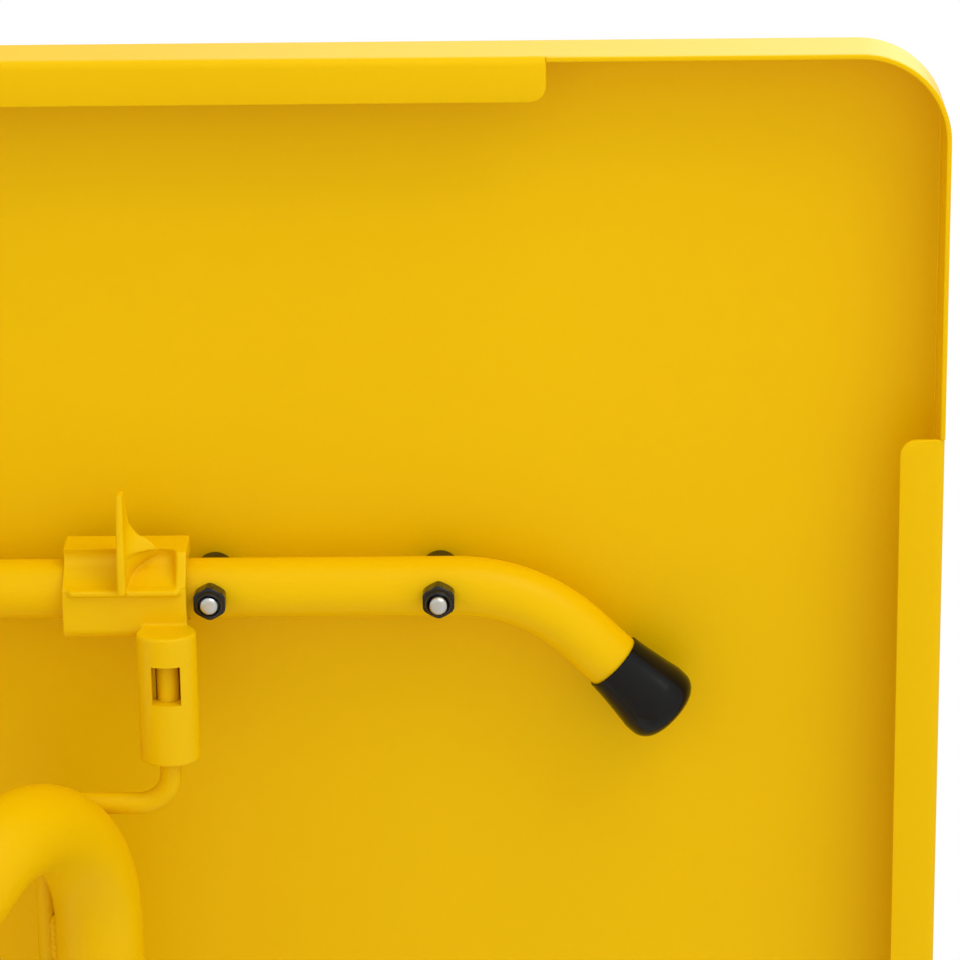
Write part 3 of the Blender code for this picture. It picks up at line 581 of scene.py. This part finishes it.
for side_name, side in SIDES:
    bolt_low, bolt_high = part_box("pivot_bolt_" + side_name)
    nut_low, nut_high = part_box("pivot_nut_" + side_name)
    washer_low, washer_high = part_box("pivot_washer_" + side_name)
    outer_y = bolt_high.y if side > 0 else bolt_low.y
    inner_y = bolt_low.y if side > 0 else bolt_high.y
    seat_y = outer_y - side * 0.004
    bolt = turned("pivot_screw_" + side_name,
                  dome_rings(0.0075, 0.004, 0.005, PIVOT_RADIUS, abs(seat_y - inner_y)),
                  (0, seat_y, WAIST_Z), (0, side, 0), 48)
    fitted(bolt, ZINC, "wide_frame", "zinc_plated_steel", "pivot_bolt_" + side_name)
    washer_length = washer_high.y - washer_low.y
    washer_radius = (washer_high.z - washer_low.z) / 2
    rings = [(PIVOT_RADIUS + 0.0003, 0.0), (washer_radius - 0.0003, 0.0),
             (washer_radius, 0.0003), (washer_radius, washer_length - 0.0003),
             (washer_radius - 0.0003, washer_length), (PIVOT_RADIUS + 0.0003, washer_length)]
    washer = turned("pivot_spacer_" + side_name, rings, (0, washer_low.y, WAIST_Z), (0, 1, 0),
                    48, True)
    fitted(washer, RUBBER, "wide_frame", "black_rubber", "pivot_washer_" + side_name)
    nut_seat = nut_high.y if side > 0 else nut_low.y
    nut = turned("pivot_lock_nut_" + side_name,
                 nut_rings(0.013, 0.0062, 0.0018, PIVOT_RADIUS + 0.00015),
                 (0, nut_seat, WAIST_Z), (0, -side, 0), 72, True, 24)
    fitted(nut, BLACK_STEEL, "wide_frame", "black_oxide_steel", "pivot_nut_" + side_name)


# ---- Hinge of the wide frame -------------------------------------------------------------------
# Two brackets of folded 2.5 mm steel are welded under the sheet. The wide frame's top bar turns
# against their shelves, and a formed strap below holds it up, with a screw in each ear.
BRACKET_SHEET = 0.0025
HINGE_X = -TOP_BAR_X


def folded_strip(name, corners, radii, thickness, low_y, high_y, offset):
    """A strip of sheet folded along a line of (x, z) corners."""
    route = rounded_route([(x, 0, z) for x, z in corners], radii, 9.0)
    rows = [low_y, high_y]
    verts = [Vector((place.x, y, place.z)) for place in route for y in rows]
    faces = [(2 * k, 2 * k + 1, 2 * k + 3, 2 * k + 2) for k in range(len(route) - 1)]
    strip = mesh_piece(name, verts, faces)
    thick = strip.modifiers.new("sheet", "SOLIDIFY")
    thick.thickness = thickness
    thick.offset = offset
    thick.use_even_offset = True
    soft = strip.modifiers.new("edges", "BEVEL")
    soft.width = 0.0004
    soft.segments = 2
    soft.limit_method = "ANGLE"
    soft.angle_limit = math.radians(50)
    return baked(strip, 45)


for side_name, side in SIDES:
    low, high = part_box("hinge_bracket_" + side_name)
    mid = BRACKET_SHEET / 2
    foot_z = high.z - mid
    shelf_z = low.z + mid
    left, right = low.x, high.x
    wall_left = HINGE_X - 0.031 + mid
    wall_right = HINGE_X + 0.031 - mid
    corners = [(left, foot_z), (wall_left, foot_z), (wall_left, shelf_z), (wall_right, shelf_z),
               (wall_right, foot_z), (right, foot_z)]
    bracket = folded_strip("folded_bracket_" + side_name, corners, (0.003,) * 4, BRACKET_SHEET,
                           low.y, high.y, 0.0)
    fitted(bracket, POWDER_COAT, "top", "yellow_powder_coat", "hinge_bracket_" + side_name)
    low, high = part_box("hinge_strap_" + side_name)
    ear_z = high.z - mid
    middle = LEG_RADIUS + 0.0003 + mid
    drop = low.z + mid
    corners = [(low.x, ear_z), (HINGE_X - middle, ear_z), (HINGE_X - middle, drop),
               (HINGE_X + middle, drop), (HINGE_X + middle, ear_z), (high.x, ear_z)]
    strap = folded_strip("formed_strap_" + side_name, corners,
                         (0.002, middle - 0.0001, middle - 0.0001, 0.002), BRACKET_SHEET,
                         low.y, high.y, 0.0)
    fitted(strap, POWDER_COAT, "top", "yellow_powder_coat", "hinge_strap_" + side_name)
    for end_name, end in ENDS:
        label = "%s_%s" % (side_name, end_name)
        low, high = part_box("hinge_screw_" + label)
        seat = (( low.x + high.x) / 2, (low.y + high.y) / 2, low.z + 0.003)
        screw = turned("strap_screw_" + label,
                       dome_rings(0.00475, 0.003, 0.003, 0.0025, high.z - low.z - 0.003),
                       seat, (0, 0, -1), 48)
        fitted(screw, ZINC, "top", "zinc_plated_steel", "hinge_screw_" + label)


# ---- Locking rods ------------------------------------------------------------------------------
# A 7 mm steel rod is bent twice on each side of the narrow frame. One arm is welded along the top
# bar with two beads, the run between passes behind the leg's bend, and the other arm is the axle
# of a locking clip. It is powder coated with the frame.
ROD_RADIUS = 0.0035
ROD_X = 0.110
ROD_Z = frame["joints"][2]["pos_m"][2]
ROD_RUN_Y = BAR_Y - 0.0656
ROD_TIP_Y = BAR_Y - 0.0135
ROD_END_Y = BAR_Y - 0.1200
ROD_BEND = 0.0105
WELD_X = TOP_BAR_X - math.sqrt((LEG_RADIUS + ROD_RADIUS + 0.0008) ** 2 - (ROD_Z - TOP_BAR_Z) ** 2)


def weld_bead(name, start, end, radius, seed):
    """A bead of weld metal: a thick line with overlapping ripples, tapered at both ends."""
    start, end = Vector(start), Vector(end)
    steps, sides = 36, 14
    along = (end - start).normalized()
    across = along.orthogonal().normalized()
    other = along.cross(across)
    verts, faces = [], []
    for step in range(steps + 1):
        share = step / steps
        taper = min(1.0, 6 * share + 0.25, 6 * (1 - share) + 0.25)
        ripple = 1 + 0.10 * math.sin(share * 42 + seed) + 0.08 * noise.noise((share * 7, seed, 0))
        centre = start.lerp(end, share)
        for k in range(sides):
            angle = 2 * math.pi * k / sides
            verts.append(centre + (across * math.cos(angle) + other * math.sin(angle))
                         * radius * taper * ripple)
    for step in range(steps):
        for k in range(sides):
            a, b = step * sides + k, step * sides + (k + 1) % sides
            faces.append((a, b, b + sides, a + sides))
    faces.append(list(reversed(range(sides))))
    faces.append([steps * sides + k for k in range(sides)])
    return baked(mesh_piece(name, verts, faces), 60)


for side_name, side in SIDES:
    corners = [(ROD_X, side * ROD_TIP_Y, ROD_Z), (ROD_X, side * ROD_RUN_Y, ROD_Z),
               (WELD_X, side * ROD_RUN_Y, ROD_Z), (WELD_X, side * ROD_END_Y, ROD_Z)]
    rod = round_bar("bent_rod_" + side_name, rounded_route(corners, (ROD_BEND, ROD_BEND), 5),
                    ROD_RADIUS, 40, 0.0005)
    fitted(rod, POWDER_COAT, "narrow_frame", "yellow_powder_coat", "lock_rod_" + side_name)
    meeting_x = WELD_X + (TOP_BAR_X - WELD_X) * ROD_RADIUS / (ROD_RADIUS + LEG_RADIUS)
    meeting_z = ROD_Z + (TOP_BAR_Z - ROD_Z) * ROD_RADIUS / (ROD_RADIUS + LEG_RADIUS)
    for number, lift in enumerate((-0.0024, 0.0024)):
        slope = math.atan2(TOP_BAR_Z - ROD_Z, TOP_BAR_X - WELD_X)
        x = meeting_x - lift * math.sin(slope)
        z = meeting_z + lift * math.cos(slope)
        bead = weld_bead("rod_weld_%s_%d" % (side_name, number),
                         (x, side * (ROD_END_Y + 0.001), z), (x, side * (ROD_END_Y + 0.017), z),
                         0.0016, 3.0 * number + side)
        fitted(bead, POWDER_COAT, "narrow_frame", "yellow_powder_coat")


# ---- Locking clips -----------------------------------------------------------------------------
# Each clip is moulded in yellow nylon: a saddle that snaps over the support bar, a rib and a
# thumb fin to pull it off by, and a sleeve with a window that turns on the locking rod. The
# edges are soft, and the sleeve's lower side is a little flattened.
BAR_DROP = UNDERSIDE_Z - BAR_Z
ROD_DROP = UNDERSIDE_Z - ROD_Z
CLIP_BACK = 0.0330
CLIP_FRONT = 0.0063
CLIP_GRAIN = 0.0004
SADDLE_ROOM = 0.0004
OUTER_WALL_Y = -0.0155
INNER_WALL_Y = 0.0120
WALL_DROP = 0.010
ROOF_DROP = 0.0315
RIM_START = 0.0365
SLEEVE_CROWN = 0.80
SLEEVE_START = 0.0070
SLEEVE_LENGTH = 0.0433
SLEEVE_RADIUS = 0.0095
WINDOW_START = 0.0165
WINDOW_END = 0.0295
WINDOW_HALF_WIDTH = 0.0046
BORE_CLEARANCE = 0.0003
BORE_SETBACK = 0.0008
BORE_LENGTH = 0.050
FIN_BEHIND_ROD = 0.0137

CLIP_NYLON = finish_material("yellow moulded nylon", (linear(238, 191, 0), linear(243, 197, 0)),
                             (0.30, 0.38), 500.0, 0.03, gloss=0.12)


def saddle_drop(y, ahead):
    """How far below the sheet the hollow of the clip lies, so that it can swing off the bar."""
    room = BAR_RADIUS + SADDLE_ROOM
    level = BAR_DROP + math.sqrt(max(0.0, room ** 2 - min(abs(y), room) ** 2))
    above_rod = ROD_DROP - level
    if ahead <= 0 or above_rod <= ahead:
        return level
    return ROD_DROP - math.sqrt(above_rod ** 2 - ahead ** 2)


def scoop_drop(y, rim):
    """The outer half of the clip's face: a hollow for the thumb, or the raised rim beside it."""
    share = (y - OUTER_WALL_Y) / (-0.0052 - OUTER_WALL_Y)
    hollow = 0.0222 - 0.0014 * math.sin(math.pi * min(1.0, share * 1.5)) + 0.0085 * share ** 3.2
    raised = 0.0252 + 0.0068 * share ** 0.9
    return hollow + (raised - hollow) * rim


def clip_section(x_from_back):
    """The clip's section at a distance from its back end: a loop of (y, drop)."""
    length = CLIP_BACK + CLIP_FRONT
    rim = min(1.0, max(0.0, (x_from_back - RIM_START + 0.0022) / 0.0022))
    rim = rim * rim * (3 - 2 * rim)
    from_end = min(x_from_back, length - x_from_back)
    rib = min(1.0, max(0.0, (from_end - 0.0018) / 0.0012))
    rib = rib * rib * (3 - 2 * rib)
    points = [(OUTER_WALL_Y, WALL_DROP), (OUTER_WALL_Y, 0.016)]
    for step in range(13):
        y = OUTER_WALL_Y + (-0.0056 - OUTER_WALL_Y) * step / 12
        points.append((y, scoop_drop(y, rim)))
    crest = ROOF_DROP + 0.0019 * rib
    points += [(-0.0051, crest - 0.0004), (-0.0047, crest), (-0.0036, crest),
               (-0.0032, crest - 0.0004), (-0.0028, ROOF_DROP)]
    points += [(y, ROOF_DROP) for y in (0.0, 0.004, 0.008)]
    for angle in range(0, 91, 15):
        turn = math.radians(angle)
        points.append((INNER_WALL_Y - 0.0040 + 0.0040 * math.sin(turn),
                       ROOF_DROP - 0.0040 + 0.0040 * math.cos(turn)))
    points += [(INNER_WALL_Y, 0.018), (INNER_WALL_Y, WALL_DROP)]
    ahead = x_from_back - CLIP_BACK
    room = BAR_RADIUS + SADDLE_ROOM
    points += [(room, WALL_DROP), (room, BAR_DROP)]
    for angle in range(10, 171, 10):
        y = room * math.cos(math.radians(angle))
        points.append((y, saddle_drop(y, ahead)))
    points += [(-room, BAR_DROP), (-room, WALL_DROP)]
    return points


def clip_shell(name, side):
    length = CLIP_BACK + CLIP_FRONT
    corner = 0.0013
    stations = [corner * (1 - math.cos(math.radians(a))) for a in (0, 30, 60, 90)]
    stations += [length * k / 26 for k in range(2, 25)]
    stations += [length - value for value in reversed(stations[:4])]
    verts, faces = [], []
    for from_back in stations:
        for y, drop in clip_section(from_back):
            verts.append((ROD_X - CLIP_BACK + from_back, side * (BAR_Y - y), UNDERSIDE_Z - drop))
    count = len(clip_section(0.0))
    for ring in range(len(stations) - 1):
        for k in range(count):
            a, b = ring * count + k, ring * count + (k + 1) % count
            faces.append((a, b, b + count, a + count))
    faces.append(list(reversed(range(count))))
    faces.append([(len(stations) - 1) * count + k for k in range(count)])
    return mesh_piece(name, verts, faces)


def thumb_fin(name, side):
    """A blade that stands off the rib, with a flare on one face that fairs into the saddle."""
    fin_x = ROD_X - FIN_BEHIND_ROD
    rows = []
    for step in range(25):
        share = step / 24
        y = -0.0044 + (-0.0370 + 0.0044) * share
        top = 0.0358 - 0.0052 * max(0.0, share - 0.25) ** 1.2
        depth = 0.012 - 0.0075 * share ** 1.4 if share > 0.35 else 0.0140
        thick = 0.0011 + 0.0003 * (1 - share)
        bulge = 0.0092 * math.exp(-((share - 0.36) / 0.17) ** 2)
        tail = 0.0016 * (1 - share) ** 0.5
        rows.append((y, top, depth, thick, bulge + tail))
    verts, faces = [], []
    for y, top, depth, thick, flare in rows:
        section = [(-thick, top - depth), (-thick, top - 0.0006), (-thick + 0.0006, top),
                   (thick - 0.0006, top), (thick, top - 0.0006)]
        for step in range(1, 7):
            share = step / 6
            section.append((thick + flare * share ** 2.2, top - 0.0006 - (depth - 0.0006) * share))
        for x, drop in section:
            verts.append((fin_x + x, side * (BAR_Y - y), UNDERSIDE_Z - drop))
    count = 11
    for ring in range(len(rows) - 1):
        for k in range(count):
            a, b = ring * count + k, ring * count + (k + 1) % count
            faces.append((a, b, b + count, a + count))
    faces.append(list(reversed(range(count))))
    faces.append([(len(rows) - 1) * count + k for k in range(count)])
    return mesh_piece(name, verts, faces)


def moulded(parts, name, grain):
    """Melts overlapping closed meshes into one body with softly rounded edges."""
    builder = bmesh.new()
    for part in parts:
        builder.from_mesh(part.data)
        bpy.data.objects.remove(part, do_unlink=True)
    bmesh.ops.recalc_face_normals(builder, faces=builder.faces)
    mesh = bpy.data.meshes.new(name)
    builder.to_mesh(mesh)
    builder.free()
    piece = bpy.data.objects.new(name, mesh)
    bpy.context.scene.collection.objects.link(piece)
    melt = piece.modifiers.new("melt", "REMESH")
    melt.mode = "VOXEL"
    melt.voxel_size = grain
    soften = piece.modifiers.new("soften", "SMOOTH")
    soften.factor = 0.5
    soften.iterations = 5
    return baked(piece, 180)


def cut_away(piece, tool):
    """Removes a tool's shape from a piece."""
    cut = piece.modifiers.new("cut", "BOOLEAN")
    cut.object = tool
    cut.operation = "DIFFERENCE"
    cut.solver = "EXACT"
    baked(piece, 35)
    bpy.data.objects.remove(tool, do_unlink=True)
    return piece


def block_tool(low, high):
    corners = [(x, y, z) for x in (low[0], high[0]) for y in (low[1], high[1])
               for z in (low[2], high[2])]
    faces = [(0, 1, 3, 2), (4, 6, 7, 5), (0, 4, 5, 1), (2, 3, 7, 6), (0, 2, 6, 4), (1, 5, 7, 3)]
    return mesh_piece("block_tool", corners, faces)


def sleeve_rings():
    outer, start, end = SLEEVE_RADIUS, 0.0, SLEEVE_LENGTH
    rings = [(outer - 0.0006, start), (outer, start + 0.0006), (outer, 0.012), (outer, 0.030),
             (outer, end - 0.0006), (outer - 0.0006, end)]
    return rings


for side_name, side in SIDES:
    shell = clip_shell("clip_shell", side)
    fin = thumb_fin("clip_fin", side)
    start = Vector((ROD_X, side * (BAR_Y - SLEEVE_START), ROD_Z))
    sleeve = turned("clip_sleeve", sleeve_rings(), start, (0, -side, 0), 48)
    for vertex in sleeve.data.vertices:
        if vertex.co.z < ROD_Z:
            vertex.co.z = ROD_Z + (vertex.co.z - ROD_Z) * SLEEVE_CROWN
    clip = moulded([shell, fin, sleeve], "locking_clip_" + side_name, CLIP_GRAIN)
    bore_start = Vector((ROD_X, side * (ROD_TIP_Y + BORE_SETBACK), ROD_Z))
    bore_radius = ROD_RADIUS + BORE_CLEARANCE
    bore = turned("clip_bore", [(bore_radius, 0.0), (bore_radius, BORE_LENGTH)],
                  bore_start, (0, -side, 0), 48)
    cut_away(clip, bore)
    near, far = sorted((side * (BAR_Y - WINDOW_START), side * (BAR_Y - WINDOW_END)))
    cut_away(clip, block_tool((ROD_X - WINDOW_HALF_WIDTH, near, ROD_Z - 0.012),
                              (ROD_X + WINDOW_HALF_WIDTH, far, ROD_Z)))
    thin = clip.modifiers.new("thin", "DECIMATE")
    thin.ratio = 0.35
    baked(clip, 35)
    fitted(clip, CLIP_NYLON, "lock_clip_" + side_name, "yellow_clip_plastic",
           "lock_clip_" + side_name)


# ---- Room --------------------------------------------------------------------------------------
# A plain pale floor that does not hide the table from below, a pale room, three soft lights and
# a camera that looks up under one corner of the top.
floor = mesh_piece("studio_floor", [(-4, -4, 0), (4, -4, 0), (4, 4, 0), (-4, 4, 0)], [(0, 1, 2, 3)])
floor_material = bpy.data.materials.new("pale floor")
floor_material.use_nodes = True
floor_nodes, floor_links = floor_material.node_tree.nodes, floor_material.node_tree.links
floor_shader = floor_nodes["Principled BSDF"]
floor_shader.inputs["Base Color"].default_value = (0.86, 0.86, 0.85, 1)
floor_shader.inputs["Roughness"].default_value = 0.8
clear = floor_nodes.new("ShaderNodeBsdfTransparent")
facing = floor_nodes.new("ShaderNodeNewGeometry")
mixer = floor_nodes.new("ShaderNodeMixShader")
floor_links.new(facing.outputs["Backfacing"], mixer.inputs[0])
floor_links.new(floor_shader.outputs[0], mixer.inputs[1])
floor_links.new(clear.outputs[0], mixer.inputs[2])
floor_links.new(mixer.outputs[0], floor_nodes["Material Output"].inputs["Surface"])
floor.data.materials.append(floor_material)

world = bpy.data.worlds.new("pale room")
bpy.context.scene.world = world
world.use_nodes = True
world_nodes, world_links = world.node_tree.nodes, world.node_tree.links
room_light = world_nodes["Background"]
room_light.inputs["Color"].default_value = (1, 1, 1, 1)
room_light.inputs["Strength"].default_value = 0.75
seen = world_nodes.new("ShaderNodeBackground")
seen.inputs["Color"].default_value = (1, 1, 1, 1)
seen.inputs["Strength"].default_value = 1.0
ray = world_nodes.new("ShaderNodeLightPath")
choose = world_nodes.new("ShaderNodeMixShader")
world_links.new(ray.outputs["Is Camera Ray"], choose.inputs[0])
world_links.new(room_light.outputs[0], choose.inputs[1])
world_links.new(seen.outputs[0], choose.inputs[2])
world_links.new(choose.outputs[0], world_nodes["World Output"].inputs["Surface"])


def soft_light(name, place, target, size, power):
    data = bpy.data.lights.new(name, "AREA")
    data.shape = "SQUARE"
    data.size = size
    data.energy = power
    light = bpy.data.objects.new(name, data)
    bpy.context.scene.collection.objects.link(light)
    light.location = place
    aim = Vector(target) - Vector(place)
    light.rotation_euler = aim.to_track_quat("-Z", "Y").to_euler()
    return light


soft_light("low key light", (0.75, -1.35, 0.10), (0.20, -0.20, 0.73), 0.9, 9)
soft_light("overhead light", (0.9, -1.2, 2.4), (0, 0, 0.6), 1.6, 22)
soft_light("back fill light", (-1.4, 1.3, 1.2), (0, 0, 0.5), 1.4, 12)

camera_data = bpy.data.cameras.new("camera")
camera_data.lens = 169.65
camera_data.sensor_width = 36
camera_data.clip_end = 50
camera = bpy.data.objects.new("camera", camera_data)
bpy.context.scene.collection.objects.link(camera)
right = Vector((0.99985, 0.01248, 0.01221))
upward = Vector((0.00773, -0.94357, 0.33109))
backward = Vector((0.01565, -0.33095, -0.94352))
turn = Matrix((right, upward, backward)).transposed()
camera.matrix_world = Matrix.Translation((0.2315, -0.6894, -0.6249)) @ turn.to_4x4()
bpy.context.scene.camera = camera
bpy.context.scene.view_settings.view_transform = "Standard"
